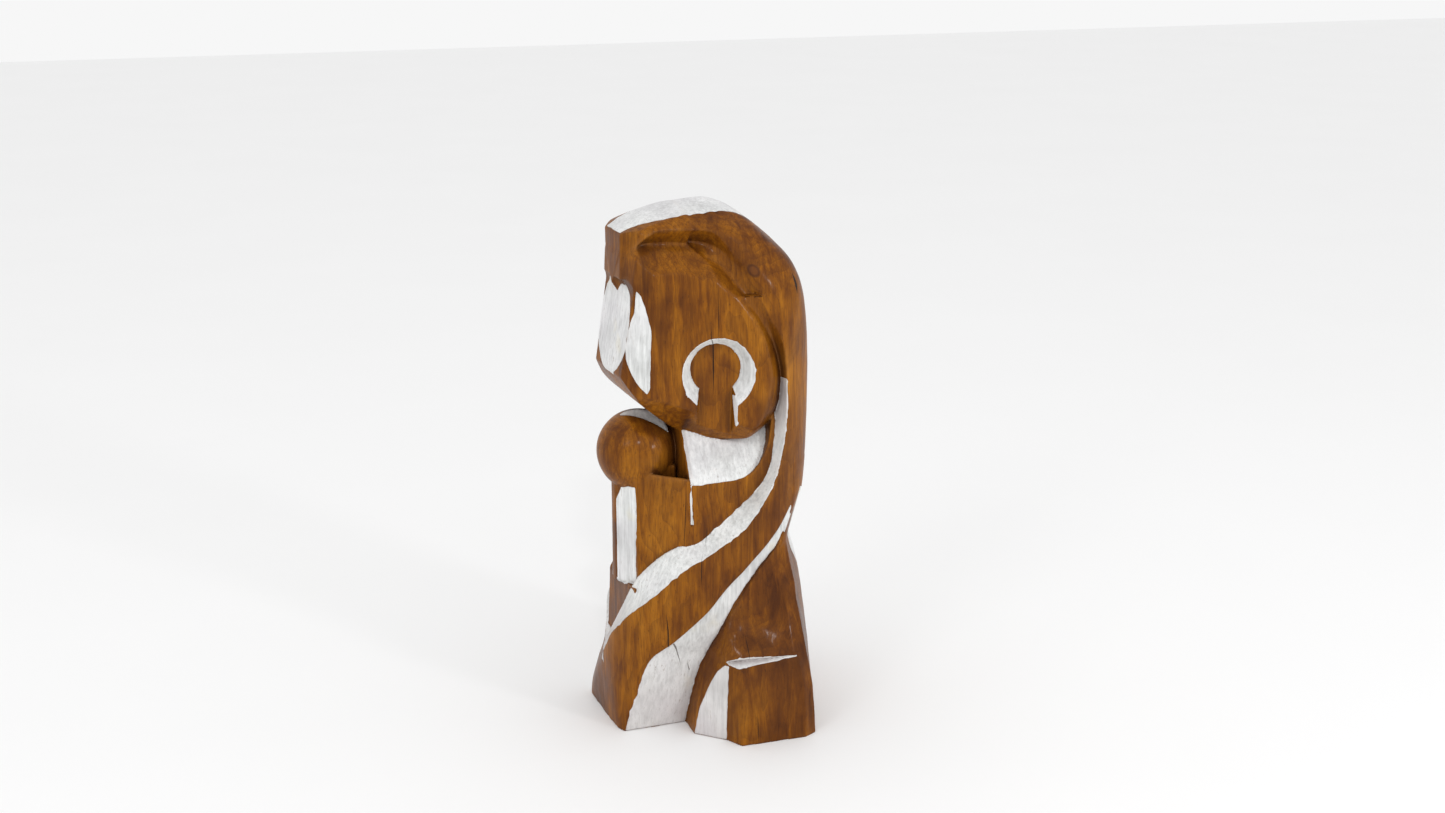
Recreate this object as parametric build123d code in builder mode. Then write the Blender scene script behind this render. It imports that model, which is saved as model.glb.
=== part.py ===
from build123d import *
import os

# Mother-and-child figure carved from one log, with white paint on its hewn facets.
# +Z is up, the figure faces -Y, its left side is +X, and Z = 0 is the face it stands on.

# Driving dimensions, in millimetres
HEIGHT = 400.0            # from the base to the crown
LOG_HALF_WIDTH = 70.0     # the rounded log that the mantle and the sash follow
LOG_HALF_DEPTH = 82.0
BASE_HALF_WIDTH = 90.0    # the kneeling legs, the widest part
PAINT = 0.8               # thickness of each coat of paint with its filler
BALL_RADIUS = 31.0        # the child's head
BALL_CENTRE = (0, -51, 212)
EAR_RADIUS = 27.0
EAR_FLOOR_RADIUS = 18.5
EAR_DEPTH = 10.0
EAR_STEM_HALF_WIDTH = 12.5
EAR_STEM_LENGTH = 70.0
GROOVE_DEPTH = 5.0
VISOR_BOTTOM = 344.0      # the visor is cut narrow above this height
CROWN_PAINT_BOTTOM = 366.0
LAP_HALF_WIDTH = 30.0
BACKING = 15.0            # wood that a slanting field is hewn from
CLEARANCE = 14.0          # how far in front of a slanting field the wood is cleared
HEM_CLEARANCE = 30.0
REACH = 120.0             # longer than any cut has to be
PAINT_CLEARANCE = 1.0     # paint stops this far above the base


def symmetric(half_outline):
    """A closed outline from the points of its +X half."""
    return half_outline + [(-x, y) for x, y in reversed(half_outline) if x != 0]


def side_prism(outline, x_from, x_to):
    """A prism across the figure, from (y, z) points."""
    with BuildPart() as prism:
        with BuildSketch(Plane.YZ.offset(x_from)):
            with BuildLine():
                Polyline(*outline, close=True)
            make_face()
        extrude(amount=x_to - x_from)
    return prism.part


def plan_prism(outline, z_from, z_to):
    """An upright prism from (x, y) points."""
    with BuildPart() as prism:
        with BuildSketch(Plane.XY.offset(z_from)):
            with BuildLine():
                Polyline(*outline, close=True)
            make_face()
        extrude(amount=z_to - z_from)
    return prism.part


def section_loft(sections):
    """A solid through plane sections, each a closed list of (x, y, z) corners."""
    with BuildPart() as band:
        for corners in sections:
            add(Face(Wire.make_polygon([Vector(*c) for c in corners], close=True)))
        loft(ruled=True)
    return band.part


def strip(stations, outward, amount):
    """The layer that lies between a strip, given by pairs of edge points, and the
    same strip moved by amount along outward."""
    step = Vector(*outward).normalized() * amount
    sections = []
    for first, second in stations:
        a = Vector(*first)
        b = Vector(*second)
        sections.append([tuple(a), tuple(b), tuple(b + step), tuple(a + step)])
    return section_loft(sections)


def facet(plane, outline, depth):
    """A flat field, drawn as a closed outline on its own plane and sunk into it."""
    with BuildPart() as field:
        with BuildSketch(plane):
            with BuildLine():
                Polyline(*outline, close=True)
            make_face()
        extrude(amount=-depth)
    return field.part


def front_section(half_outline):
    """A prism along the depth of the figure, from the (x, z) points of its +X half."""
    with BuildPart() as section:
        with BuildSketch(Plane.XZ):
            with BuildLine():
                Polyline(*symmetric(half_outline), close=True)
            make_face()
        extrude(amount=REACH, both=True)
    return section.part


def both_sides(solid):
    """The solid and its mirror image on the figure's other side."""
    with BuildPart() as pair:
        add(solid)
        mirror(about=Plane.YZ)
    return pair.part


# --- Lines of the carving -------------------------------------------------------------

# Upper edge of the sash, then the front edge of the mantle round the head (y, z)
SASH_TOP = [(-82, 55), (-81, 73), (-76, 91), (-69, 103), (-58, 116), (-40, 135), (-11, 152), (15, 170)]
SASH_TOP += [(34, 197), (44, 230), (45, 259), (38, 297), (28, 318), (14, 340), (0, 366)]
# Lower edge of the sash, from the hem at the back to the foot of the front (y, z)
SASH_HEM = [(60, 186), (51, 175), (42, 163), (30, 151), (16, 139), (2, 126), (-20, 103), (-44, 79)]
SASH_HEM += [(-58, 66), (-65, 50), (-70, 29), (-75, 0)]
# Crown and back of the mantle (y, z)
MANTLE_BACK = [(-66, 380), (-44, 391), (-20, 398), (0, 400), (22, 392), (48, 368), (66, 341)]
MANTLE_BACK += [(77, 312), (82, 275), (82, 240), (79.5, 210), (76, 186)]
# The white bevel above the sash: its edge on the chest and its edge on the sash (x, y, z)
SASH_BEVEL = [
    ((47, 36, 250), (58, 44, 250)),
    ((49, 35, 220), (61, 42, 222)),
    ((51, 27, 193), (64, 31, 192)),
    ((55, 4, 172), (67, 13, 169)),
    ((56, -14, 161), (69.5, -11, 152)),
    ((50, -40, 148), (65, -30, 141)),
    ((34, -60, 126), (57, -51, 124)),
    ((22, -68, 104), (44, -66, 103)),
    ((8, -75, 80), (26, -77, 76)),
    ((0.5, -79.5, 57), (5, -81, 54)),
]
# Floor of the channel below the sash: its edge at the sash and at the skirt (x, y, z)
CHANNEL_FLOOR = [
    ((50, 58, 188), (50, 62, 168)),
    ((55, 42, 164), (56, 46, 156)),
    ((59, 16, 140), (62, 26, 132)),
    ((61, -8, 117), (63, 6, 108)),
    ((57, -36, 88), (60, -8, 78)),
    ((49, -58, 66), (50, -18, 60)),
    ((40, -70, 30), (40, -23, 30)),
    ((32, -77, -1), (32, -26, -1)),
]
# Right-hand channel: the foot of the front is wider on that side
RIGHT_CHANNEL_FLOOR = CHANNEL_FLOOR[:5] + [
    ((52, -58, 66), (52, -18, 60)),
    ((48, -70, 30), (48, -23, 30)),
    ((45, -79, -1), (45, -26, -1)),
]

# White field on the shin, between the front of the knee and its side (x, y, z)
SHIN_FIELD = [
    ((55, -27, -1), (74, -8, -1)),
    ((58, -24, 21), (74.3, -7.5, 21)),
    ((62, -18, 40), (74.6, -7, 40)),
    ((68, -12.5, 54), (74.8, -6.7, 54)),
    ((73, -8, 60), (75, -6.2, 60)),
]
# Undercut below the hem of the mantle, across the back (x, y, z)
HEM_UNDERCUT = [
    ((-50, 57, 187), (-50, 47, 152)),
    ((-30, 69, 187), (-30, 57, 152)),
    ((0, 76, 187), (0, 65, 152)),
    ((30, 69, 187), (30, 57, 152)),
    ((50, 57, 187), (50, 47, 152)),
]

# --- Working planes --------------------------------------------------------------------

FACE_PLANE = Plane(origin=(0, -68, 310), x_dir=(1, 0, 0), z_dir=(0, -1, 0.16))
CHEEK_PLANE = Plane(origin=(32, -68, 310), x_dir=(1, 1, 0), z_dir=(1, -1, 0.12))
EAR_PLANE = Plane(origin=(56, -7, 279), x_dir=(0.176, 1, 0), z_dir=(1, -0.176, 0.07))
CHILD_PLANE = Plane(origin=(4, -71, 150), x_dir=(22, 10, 0), z_dir=(10, -22, 0))
COLLAR_PLANE = Plane(origin=(54, -2, 197), x_dir=(0, 1, 0), z_dir=(35, 0, 18))
CRESCENT_PLANE = Plane(
    origin=(6, -42, 240),
    x_dir=(0.528, 0.802, -0.279),
    z_dir=(0.654, -0.175, 0.735),
)

# --- The masses of the log --------------------------------------------------------------

# Mantle: the band that runs from the visor over the crown, down the back and round to the front
MANTLE_TOE = [(-79, 0), (-80, 40)]
VISOR_UNDERSIDE = [(-14, 375), (-36, 377), (-57, 373), (-70, 350)]
MANTLE_SIDE = MANTLE_TOE + SASH_TOP + VISOR_UNDERSIDE + MANTLE_BACK + SASH_HEM
SHOULDERS = [(0, HEIGHT), (15, 398.5), (29, 394), (42, 383), (50, 368), (58, 350), (66, 318)]
SHOULDERS += [(LOG_HALF_WIDTH, 285), (LOG_HALF_WIDTH, 0)]
BESIDE_VISOR = [(16, -95), (16, -68), (25, -60), (36, -45), (42, -15), (46, 0), (95, 0), (95, -95)]
with BuildPart() as mantle_part:
    add(side_prism(MANTLE_SIDE, -BASE_HALF_WIDTH, BASE_HALF_WIDTH))
    with BuildSketch(Plane.XY):
        Ellipse(LOG_HALF_WIDTH, LOG_HALF_DEPTH)
    extrude(amount=HEIGHT, mode=Mode.INTERSECT)
    add(front_section(SHOULDERS), mode=Mode.INTERSECT)
    add(both_sides(plan_prism(BESIDE_VISOR, VISOR_BOTTOM, HEIGHT + CLEARANCE)), mode=Mode.SUBTRACT)

# Head: an egg seen from the side and from the front, with flat sides and face
HEAD_FRONT = [(0, 378), (28, 376), (40, 366), (54, 346), (61, 318), (63, 290)]
HEAD_FRONT += [(60, 258), (52, 238), (42, 229), (0, 222)]
with BuildPart() as head_part:
    with BuildSketch(Plane.YZ):
        with BuildLine():
            chin = Spline((-73, 276), (-60, 257), (-28, 232), (-6, 226), (18, 227), (38, 236), (45, 256))
            nape = Spline((45, 256), (44, 275), (38, 297), (28, 318), (14, 340), (0, 366))
            Polyline((0, 366), (-14, 375), (-36, 377), (-57, 373), (-62, 352), (-73, 276))
        make_face()
    extrude(amount=BASE_HALF_WIDTH, both=True)
    add(front_section(HEAD_FRONT), mode=Mode.INTERSECT)
    split(bisect_by=FACE_PLANE, keep=Keep.BOTTOM)
    split(bisect_by=CHEEK_PLANE, keep=Keep.BOTTOM)
    split(bisect_by=EAR_PLANE, keep=Keep.BOTTOM)
    split(bisect_by=Plane.YZ, keep=Keep.TOP)
    mirror(about=Plane.YZ)

# Torso: the chest under the head, bevelled for the collar
TORSO_FRONT = [(0, 232), (36, 232), (54, 197), (57, 150), (62, 104), (52, 66), (0, 60)]
TORSO_PLAN = [(0, -66), (10, -66), (26, -58), (54, -29), (63, 0), (62, 45), (45, 66), (0, 73)]
with BuildPart() as torso_part:
    add(front_section(TORSO_FRONT))
    add(plan_prism(symmetric(TORSO_PLAN), 0, HEIGHT), mode=Mode.INTERSECT)

# Child's body, undercut at the bottom, on the mother's lap
CHILD_PLAN = symmetric([(0, -71), (4, -71), (26, -61), (26, -30), (0, -30)])
CHILD_MIDDLE = -50.0
CHILD_LEVELS = [(110, 0.82), (117, 1.0), (198, 1.0)]
child_body = section_loft([
    [(x * share, CHILD_MIDDLE + (y - CHILD_MIDDLE) * share, z) for x, y in CHILD_PLAN]
    for z, share in CHILD_LEVELS
])
LAP_SIDE = [(-65, 114), (-80, 62), (-80, 50), (-30, 50), (-30, 114)]
lap = side_prism(LAP_SIDE, -LAP_HALF_WIDTH, LAP_HALF_WIDTH)

# Child's head: a ball with a flat hewn at its upper rear for the crescent of paint
CRESCENT_SIDE = [(-40, -10), (40, -10), (40, 40), (-40, 40)]
with BuildPart() as ball_part:
    with Locations(BALL_CENTRE):
        Sphere(BALL_RADIUS)
    add(facet(CRESCENT_PLANE, CRESCENT_SIDE, -BALL_RADIUS), mode=Mode.SUBTRACT)

# Foot of the front, where the two ends of the sash meet
foot = section_loft([
    [(32, -15, 0), (32, -75, 0), (12, -77, 0), (-25, -78, 0), (-45, -78, 0), (-45, -15, 0)],
    [(49, -15, 66), (50, -57, 66), (24, -77, 66), (-24, -77, 66), (-50, -57, 66), (-52, -15, 66)],
])

# Skirt and kneeling legs, hewn in flat faces from the base to a point under the hem
SKIRT_LEVELS = [
    (0, [(32, -24), (55, -27), (74, -8), (88, 1), (BASE_HALF_WIDTH, 52), (85, 60), (45, 73), (0, 78)]),
    (64, [(48, -14), (60, -13), (75, -6), (82, 4), (84, 44), (79, 54), (42, 70), (0, 76)]),
    (115, [(45, 0), (60, 8), (63, 12), (65, 20), (66, 44), (65, 50), (36, 66), (0, 74)]),
    (152, [(40, 38), (50, 38), (54, 39), (55, 40), (55, 42), (54, 44), (32, 56), (0, 65)]),
]
skirt = section_loft([[(x, y, z) for x, y in symmetric(half)] for z, half in SKIRT_LEVELS])

# --- Cuts --------------------------------------------------------------------------------

CHANNEL_OUTWARD = (1, 0, 0)
BEVEL_OUTWARD = (0.65, -0.55, 0.5)
SHIN_OUTWARD = (1, -1, 0)
HEM_OUTWARD = (0, 1, -0.3)

left_channel_cut = strip(CHANNEL_FLOOR, CHANNEL_OUTWARD, REACH)
right_channel_cut = mirror(strip(RIGHT_CHANNEL_FLOOR, CHANNEL_OUTWARD, REACH), about=Plane.YZ)
bevel_wood = both_sides(strip(SASH_BEVEL, BEVEL_OUTWARD, -BACKING))
bevel_cut = both_sides(strip(SASH_BEVEL, BEVEL_OUTWARD, CLEARANCE))
left_channel_wood = strip(CHANNEL_FLOOR, CHANNEL_OUTWARD, -BACKING)
right_channel_wood = mirror(strip(RIGHT_CHANNEL_FLOOR, CHANNEL_OUTWARD, -BACKING), about=Plane.YZ)
shin_wood = both_sides(strip(SHIN_FIELD, SHIN_OUTWARD, -BACKING))
shin_cut = both_sides(strip(SHIN_FIELD, SHIN_OUTWARD, CLEARANCE))
hem_cut = strip(HEM_UNDERCUT, HEM_OUTWARD, HEM_CLEARANCE)


def ear_funnel(wider):
    """The round socket of the ear, narrowing to its floor."""
    with BuildPart() as funnel:
        with BuildSketch(EAR_PLANE):
            Circle(EAR_RADIUS + wider)
        with BuildSketch(EAR_PLANE.offset(-EAR_DEPTH)):
            with Locations((-1, 2)):
                Circle(EAR_FLOOR_RADIUS + wider)
        loft(ruled=True)
    return funnel.part


def ear_stem(wider):
    """The slot that runs from the ear down to the jaw."""
    w = EAR_STEM_HALF_WIDTH + wider
    outline = [(-w, 0), (w, 0), (w, -EAR_STEM_LENGTH), (-w, -EAR_STEM_LENGTH)]
    return facet(EAR_PLANE.offset(GROOVE_DEPTH), outline, EAR_DEPTH + GROOVE_DEPTH)


GROOVE_LINE = [((59, -17, 61), 0.4), ((78, -4, 64), 1.0), ((86, 47, 66), 0.15)]


def groove(size):
    """A V-shaped cut along the top of the shin, deep at the knee and running out behind."""
    sections = []
    for (x, y, z), share in GROOVE_LINE:
        s = size * share
        sections.append([(x - s, y, z), (x + 6, y, z + 0.9 * s + 1), (x + 6, y, z - 0.9 * s - 1)])
    return section_loft(sections)


# --- The block before it is painted ----------------------------------------------------------

with BuildPart() as hewn_block:
    add(mantle_part.part)
    add(torso_part.part)
    add(lap)
    add(bevel_wood)
    add(bevel_cut, mode=Mode.SUBTRACT)
    add(hem_cut, mode=Mode.SUBTRACT)
    add(head_part.part)
    add(child_body)
    add(ball_part.part)
    add(foot)
    add(skirt)
    add(left_channel_wood)
    add(right_channel_wood)
    add(shin_wood)
    add(shin_cut, mode=Mode.SUBTRACT)
    add(left_channel_cut, mode=Mode.SUBTRACT)
    add(right_channel_cut, mode=Mode.SUBTRACT)
    add(both_sides(ear_funnel(0)), mode=Mode.SUBTRACT)
    add(both_sides(ear_stem(0)), mode=Mode.SUBTRACT)
    add(both_sides(groove(GROOVE_DEPTH)), mode=Mode.SUBTRACT)
    split(bisect_by=Plane.XY, keep=Keep.TOP)

# --- Paint: one thin coat for each white field ------------------------------------------------

everywhere = [(-REACH, -REACH), (REACH, -REACH), (REACH, REACH), (-REACH, REACH)]
above_base = plan_prism(everywhere, PAINT_CLEARANCE, HEIGHT + CLEARANCE)
coats = {}


def lay(name, layer):
    """Keep the part of a layer of paint that lies in the hewn block."""
    with BuildPart() as coat:
        add(hewn_block.part)
        add(layer, mode=Mode.INTERSECT)
        add(above_base, mode=Mode.INTERSECT)
    coats[name] = coat.part


def lay_both(name, layer):
    """The same coat on the left and on the right."""
    lay("left_" + name, layer)
    lay("right_" + name, mirror(layer, about=Plane.YZ))


CROWN_LEAF = [(0, -72), (16, -72), (16, -66), (25, -45), (29, -28), (30, -8), (27, 18), (16, 40), (0, 52)]
ABOVE_FOREHEAD = [(-75, 379.5), (-60, 379.5), (-50, 350), (80, 350), (80, 410), (-75, 410)]
with BuildPart() as crown_layer:
    add(mantle_part.part)
    add(mantle_part.part.moved(Location((0, 0, -PAINT))), mode=Mode.SUBTRACT)
    add(plan_prism(symmetric(CROWN_LEAF), CROWN_PAINT_BOTTOM, HEIGHT + CLEARANCE), mode=Mode.INTERSECT)
    add(side_prism(ABOVE_FOREHEAD, -REACH, REACH), mode=Mode.INTERSECT)
lay("crown_paint", crown_layer.part)

FACE_FIELD = [(0, 36), (18, 34), (28, 26), (32, 8), (32, -8), (28, -20), (18, -30), (0, -35)]
lay("face_paint", facet(FACE_PLANE, symmetric(FACE_FIELD), PAINT))

CHEEK_FIELD = [(6, 30), (11, 25), (16, 10), (19, -5), (20.5, -20), (20, -33), (17, -43), (10, -38)]
CHEEK_FIELD += [(3, -28), (0.5, -18), (0.5, 0), (3, 12), (4, 22)]
lay_both("cheek_paint", facet(CHEEK_PLANE, CHEEK_FIELD, PAINT))

with BuildPart() as ear_layer:
    add(ear_funnel(PAINT))
    add(ear_funnel(0), mode=Mode.SUBTRACT)
    add(ear_stem(0), mode=Mode.SUBTRACT)
lay_both("ear_paint", ear_layer.part)

COLLAR_FIELD = [(-26, 1), (-12, 0), (1, 0), (18, 4), (28, 14), (34, 26), (36, 36), (-28, 36)]
lay_both("collar_paint", facet(COLLAR_PLANE, COLLAR_FIELD, PAINT) - head_part.part - ball_part.part)

lay_both("sash_paint", strip(SASH_BEVEL, BEVEL_OUTWARD, -PAINT) - head_part.part)

left_channel_layer = strip(CHANNEL_FLOOR, CHANNEL_OUTWARD, -PAINT)
right_channel_layer = mirror(strip(RIGHT_CHANNEL_FLOOR, CHANNEL_OUTWARD, -PAINT), about=Plane.YZ)
lay("left_channel_paint", left_channel_layer)
lay("right_channel_paint", right_channel_layer)

CHILD_FIELD = [(1.5, 39), (23, 39), (23, -33), (1.5, -33)]
lay_both("child_panel_paint", facet(CHILD_PLANE, CHILD_FIELD, PAINT))

CRESCENT_FIELD = [(-40, -9.5), (40, -9.5), (40, 40), (-40, 40)]
with BuildPart() as crescent_layer:
    add(ball_part.part)
    add(facet(CRESCENT_PLANE, CRESCENT_FIELD, PAINT), mode=Mode.INTERSECT)
lay("child_crown_paint", crescent_layer.part)

lay_both("shin_paint", strip(SHIN_FIELD, SHIN_OUTWARD, -PAINT))

lay_both("groove_paint", groove(GROOVE_DEPTH + PAINT))

lay("hem_paint", strip(HEM_UNDERCUT, HEM_OUTWARD, -PAINT) - left_channel_layer - right_channel_layer)

BACK_FIELD = [(0, 149), (46, 149), (50, 116), (36, 98), (20, 90), (0, 87)]
with BuildPart() as back_layer:
    add(skirt)
    add(skirt.moved(Location((0, -PAINT, 0))), mode=Mode.SUBTRACT)
    add(facet(Plane.XZ, symmetric(BACK_FIELD), REACH), mode=Mode.INTERSECT)
lay("back_panel_paint", back_layer.part)

# --- The carved block, rebated for its paint -----------------------------------------------------

with BuildPart() as carved_block:
    add(hewn_block.part)
    for coat in coats.values():
        add(coat, mode=Mode.SUBTRACT)
carved_block.part.label = "carved_block"
export_step(carved_block.part, "parts/carved_block.step")

for name, coat in coats.items():
    coat.label = name
    export_step(coat, "parts/" + name + ".step")
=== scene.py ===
import functools
import math

import bpy
import numpy as np
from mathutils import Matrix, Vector, noise


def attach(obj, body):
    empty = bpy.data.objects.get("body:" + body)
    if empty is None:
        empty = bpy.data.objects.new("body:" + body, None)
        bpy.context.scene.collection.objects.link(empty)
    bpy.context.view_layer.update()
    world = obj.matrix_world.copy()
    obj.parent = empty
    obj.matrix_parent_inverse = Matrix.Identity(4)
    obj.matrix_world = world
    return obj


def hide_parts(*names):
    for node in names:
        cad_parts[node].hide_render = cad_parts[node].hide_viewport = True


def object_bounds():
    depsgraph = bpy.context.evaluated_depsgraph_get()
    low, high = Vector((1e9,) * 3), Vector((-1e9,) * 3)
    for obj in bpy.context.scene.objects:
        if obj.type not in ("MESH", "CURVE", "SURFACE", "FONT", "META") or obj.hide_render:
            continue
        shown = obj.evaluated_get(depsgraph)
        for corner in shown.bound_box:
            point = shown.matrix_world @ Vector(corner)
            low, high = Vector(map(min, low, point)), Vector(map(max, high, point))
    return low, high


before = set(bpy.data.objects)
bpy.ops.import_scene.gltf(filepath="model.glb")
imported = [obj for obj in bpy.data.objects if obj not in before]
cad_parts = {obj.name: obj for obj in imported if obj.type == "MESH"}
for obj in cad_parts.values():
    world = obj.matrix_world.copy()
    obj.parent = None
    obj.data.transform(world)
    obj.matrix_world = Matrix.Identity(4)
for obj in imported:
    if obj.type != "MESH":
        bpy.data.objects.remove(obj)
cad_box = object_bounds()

# The carving is described in millimetres in the frame of the CAD model: +Z up, the figure
# faces -Y, its left side is +X. Every field below is a signed distance, negative in the wood.
MM = 0.001
SAMPLE = 1.0              # spacing of the grid that the carving is sampled on
SLAB = 34                 # levels of the grid that are worked out together
MOST_TRIANGLES = 190000   # in the wood's mesh
LEAST_WOOD = 2000         # triangles of a patch of the wood that is kept
LEAST_PAINT = 30          # and of a patch of paint
FAR_OUTSIDE = -99.0       # a field's value where the field has no effect

HEIGHT = 400.0
LOG_HALF_WIDTH = 70.0
LOG_HALF_DEPTH = 82.0
BEVEL_DEPTH = 14.5        # of the valley round the head
VISOR_BOTTOM = 335.0
FOREHEAD = -68.0          # the flat front of the visor lies at this y
FACE_MIDDLE = 310.0       # height of the middle of the face's facets
CHEEK_EDGE = 32.0         # where the face and the cheek meet, from the middle plane
EAR_CENTRE = (56.0, -7.0, 279.0)
EAR_RADIUS = 27.0
EAR_FLOOR_RADIUS = 18.5
EAR_DEPTH = 10.0
EAR_STEM_HALF_WIDTH = 12.0
BALL_CENTRE = (0.0, -51.0, 212.0)     # the child's head
BALL_RADIUS = 31.0
CHILD_CORNER = (4.0, -71.0, 150.0)    # where the front and the side panel of its body meet
COLLAR_FOOT = 197.0       # height of the collar's lower edge
KERF_FOOT = 166.0         # height at which the fine cut below the collar ends
BACK_DIP = 24.0           # how much lower the hem hangs at the middle of the back
PAINT_ABOVE = 0.25        # how far a coat of paint stands out of the wood
PAINT_BELOW = 0.5         # and how far it goes in


# --- Fields ---

def smooth_max(a, b, k):
    blend = np.maximum(k - np.abs(a - b), 0.0) / k
    return np.maximum(a, b) + 0.25 * k * blend * blend


def smooth_min(a, b, k):
    return -smooth_max(-a, -b, k)


def all_of(fields, k):
    """The solid that lies in every one of the fields, its edges eased by k."""
    total = fields[0]
    for field in fields[1:]:
        total = smooth_max(total, field, k)
    return total


def ramp(t, start, end):
    s = np.clip((t - start) / (end - start), 0.0, 1.0)
    return s * s * (3.0 - 2.0 * s)


def curve(points, steps=6):
    """A smooth line through the points (Catmull-Rom), with the ends kept."""
    p = np.array([points[0]] + list(points) + [points[-1]], float)
    line = []
    for i in range(1, len(p) - 2):
        for t in np.arange(steps) / steps:
            line.append(0.5 * (2 * p[i] + (p[i + 1] - p[i - 1]) * t
                               + (2 * p[i - 1] - 5 * p[i] + 4 * p[i + 1] - p[i + 2]) * t * t
                               + (3 * p[i] - p[i - 1] - 3 * p[i + 1] + p[i + 2]) * t ** 3))
    return [tuple(q) for q in line] + [tuple(p[-1])]


def along(t, knots):
    """A value that runs smoothly, without overshoot, through (t, value) knots."""
    knot, value = np.array(knots, float).T
    pace = np.diff(value) / np.diff(knot)
    same_way = pace[:-1] * pace[1:] > 0.0
    total = np.where(same_way, pace[:-1] + pace[1:], 1.0)
    middle = np.where(same_way, 2.0 * pace[:-1] * pace[1:] / total, 0.0)
    lean = np.concatenate([pace[:1], middle, pace[-1:]])
    i = np.clip(np.searchsorted(knot, t, side="right") - 1, 0, len(knot) - 2)
    span = knot[i + 1] - knot[i]
    s = np.clip((t - knot[i]) / span, 0.0, 1.0)
    rise = s * s * (3.0 - 2.0 * s)
    return (value[i] * (1.0 - rise) + value[i + 1] * rise
            + span * (lean[i] * s * (1.0 - s) ** 2 - lean[i + 1] * s * s * (1.0 - s)))


class Outline:
    """Signed distance to a closed outline in a plane, kept in a table."""
    STEP = 1.0
    MARGIN = 16.0

    def __init__(self, points):
        p = np.array(points, float)
        self.low = p.min(0) - self.MARGIN
        size = ((p.max(0) + self.MARGIN - self.low) / self.STEP).astype(int) + 2
        u, v = np.meshgrid(*(self.low[i] + self.STEP * np.arange(size[i]) for i in (0, 1)), indexing="ij")
        nearest = np.full(u.shape, 1e9)
        inside = np.zeros(u.shape, bool)
        for (ax, ay), (bx, by) in zip(p, np.roll(p, -1, axis=0)):
            dx, dy = bx - ax, by - ay
            t = np.clip(((u - ax) * dx + (v - ay) * dy) / max(dx * dx + dy * dy, 1e-9), 0.0, 1.0)
            nearest = np.minimum(nearest, (u - ax - t * dx) ** 2 + (v - ay - t * dy) ** 2)
            if ay != by:
                inside ^= ((ay > v) != (by > v)) & (u < dx * (v - ay) / dy + ax)
        self.table = (np.where(inside, -1.0, 1.0) * np.sqrt(nearest)).astype(np.float32)

    def __call__(self, u, v):
        most = np.array(self.table.shape) - 1.001
        i = np.clip((u - self.low[0]) / self.STEP, 0.0, most[0])
        j = np.clip((v - self.low[1]) / self.STEP, 0.0, most[1])
        i, j = np.broadcast_arrays(i, j)
        i0, j0 = i.astype(np.int32), j.astype(np.int32)
        s, t = i - i0, j - j0
        table = self.table
        near = table[i0, j0] * (1 - t) + table[i0, j0 + 1] * t
        far = table[i0 + 1, j0] * (1 - t) + table[i0 + 1, j0 + 1] * t
        return (near * (1 - s) + far * s).astype(np.float32)


def plane(a, y, z, normal, point):
    """Distance in front of a plane."""
    n = np.array(normal, float)
    n /= np.linalg.norm(n)
    return n[0] * (a - point[0]) + n[1] * (y - point[1]) + n[2] * (z - point[2])


# --- Lines of the carving ---

# Upper edge of the sash, then the front edge of the mantle up to the visor (y, z)
WINDOW_EDGE = [
    (-82, 54), (-81, 73), (-76, 91), (-69, 103), (-58, 116), (-40, 135), (-11, 152), (15, 170), (34, 197),
    (44, 230), (45.5, 259), (44, 285), (40, 306), (33, 326), (23, 346), (9, 368), (-4, 380), (-16, 383),
    (-41, 383.5), (-53, 379), (-62, 367), (-70, 348),
]
# The same edge below the surface: the sash's bevel where it meets the chest, then the valley
# between the head and the mantle (y, z)
WINDOW_FLOOR = [
    (-82, 44), (-80, 55), (-77, 70), (-73, 86), (-69, 101), (-65, 115), (-59, 128), (-50, 140), (-40, 148),
    (-24, 155), (-12, 162), (3, 172), (19, 184), (27, 193), (33, 205), (36, 218), (40, 240), (43, 258),
    (42, 275), (36, 294), (24, 316), (8, 341), (-4, 362), (-14, 371), (-34, 372), (-53, 369), (-66, 352),
    (-74, 338),
]
# Lower edge of the sash, from the hem at the back to the foot of the front (y, z)
HEM_EDGE = [
    (60, 185), (51, 175), (42, 163), (30, 151), (16, 139), (2, 126), (-20, 103), (-44, 79), (-58, 66),
    (-65, 50), (-70, 29), (-75, 0),
]
# Crown and back of the mantle (y, z)
MANTLE_BACK = [
    (-68, 379), (-44, 391), (-20, 398), (0, HEIGHT), (22, 392), (48, 368), (66, 341), (77, 312), (82, 275),
    (81.5, 240), (78, 210), (73, 185), (66, 160), (62, 148),
]
# Shoulders of the mantle from the front (x, z)
SHOULDER = [(29, 394), (42, 383), (50, 368), (58, 350), (66, 318), (70, 285)]
# How far the ridge of the crown lies below its top (y, drop)
CROWN_DROP = [(-90, 20), (-68, 15), (-44, 7), (-20, 1.5), (0, 0), (22, 5), (48, 16), (90, 30)]
# The visor from above (x, y)
VISOR = [(18, -68), (27, -61), (34, -53), (38, -41), (42, -13), (47, 5), (60, 30)]
# The head from the side: jaw, nape (y, z)
JAW = [(-74, 278), (-60, 257), (-28, 232), (-6, 226), (18, 227), (38, 236), (45, 256)]
NAPE = [(45, 256), (44, 275), (39, 297), (31, 316), (19, 338), (3, 362)]
# Chamfers of the head: its rear, as x + y at each height, and its top, as x + z at each depth
HEAD_REAR = [(222, 62), (240, 83), (254, 90), (275, 93), (296, 89), (315, 80), (332, 66), (365, 30)]
HEAD_TOP = [(-80, 390), (-65, 393), (-49, 396.5), (-30, 400), (-10, 399), (8, 390), (40, 372)]
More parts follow.
